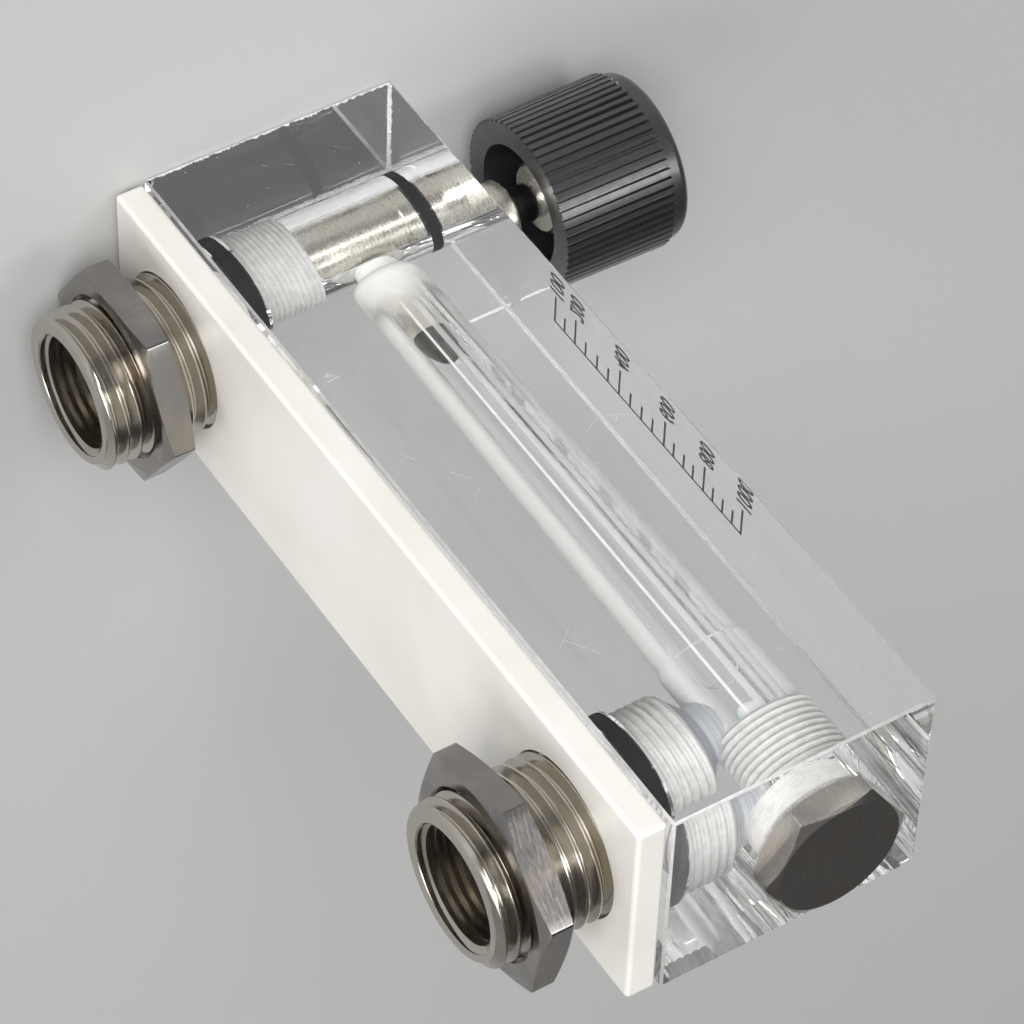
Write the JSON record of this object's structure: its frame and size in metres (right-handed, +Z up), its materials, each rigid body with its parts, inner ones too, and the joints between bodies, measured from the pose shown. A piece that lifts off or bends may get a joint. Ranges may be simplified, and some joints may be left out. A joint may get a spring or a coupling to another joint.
{
  "type": "panel rotameter",
  "caption": "Panel rotameter: a clear block with a tapered metering bore and float, a needle valve with a ribbed knob at its foot, a hex end plug and two threaded panel studs at its back.",
  "frame": {"origin": "centre of the clear block's bottom end face, the face it stands on", "axes": "+Z up along the metering bore, -Y towards the front with the scale and the knob, +Y towards the panel, X across"},
  "size_m": [0.03, 0.0849, 0.124],
  "materials": {
    "clear_acrylic": "polished clear acrylic",
    "white_plastic": "satin white plastic",
    "nickel_brass": "nickel-plated brass, turned",
    "plated_valve": "nickel-plated brass, polished",
    "steel": "turned stainless steel",
    "black_rubber": "moulded rubber",
    "black_plastic": "black moulded plastic",
    "white_pin": "translucent white plastic"
  },
  "bodies": {
    "meter": {"flow_block": "clear_acrylic", "back_plate": "white_plastic", "inlet_fitting": "nickel_brass", "outlet_fitting": "nickel_brass", "inlet_seal": "black_rubber", "outlet_seal": "black_rubber", "valve_cartridge": "plated_valve", "seat_seal": "black_rubber", "cartridge_seal": "black_rubber", "stem_stop_ring": "steel", "end_plug": "nickel_brass", "end_plug_seal": "black_rubber", "float_stop": "white_pin"},
    "float": {"metering_float": "steel"},
    "stem_ring": {"stem_seal": "black_rubber"},
    "knob": {"valve_stem": "steel", "knob": "black_plastic", "knob_insert": "plated_valve", "knob_set_screw": "steel"},
    "inlet_nut": {"inlet_panel_nut": "nickel_brass"},
    "outlet_nut": {"outlet_panel_nut": "nickel_brass"}
  },
  "joints": [
    {"name": "float_rise", "type": "slide", "parent": "meter", "child": "float", "axis": [0, 0, 1], "range_m": [0, 0.068]},
    {"name": "stem_feed", "type": "slide", "parent": "meter", "child": "stem_ring", "axis": [0, -1, 0], "range_m": [-0.004, 0.002]},
    {"name": "knob_turn", "type": "hinge", "parent": "stem_ring", "child": "knob", "pos_m": [0, -0.018, 0.015], "axis": [0, -1, 0], "range_deg": [-1440, 720]},
    {"name": "inlet_nut_feed", "type": "slide", "parent": "meter", "child": "inlet_nut", "axis": [0, 1, 0], "range_m": [-0.0049, 0.005]},
    {"name": "outlet_nut_feed", "type": "slide", "parent": "meter", "child": "outlet_nut", "axis": [0, 1, 0], "range_m": [-0.0073, 0.0026]}
  ],
  "couplings": [
    {"joint": "knob_turn", "follows": "stem_feed", "rad_per_m": 6283.2}
  ]
}
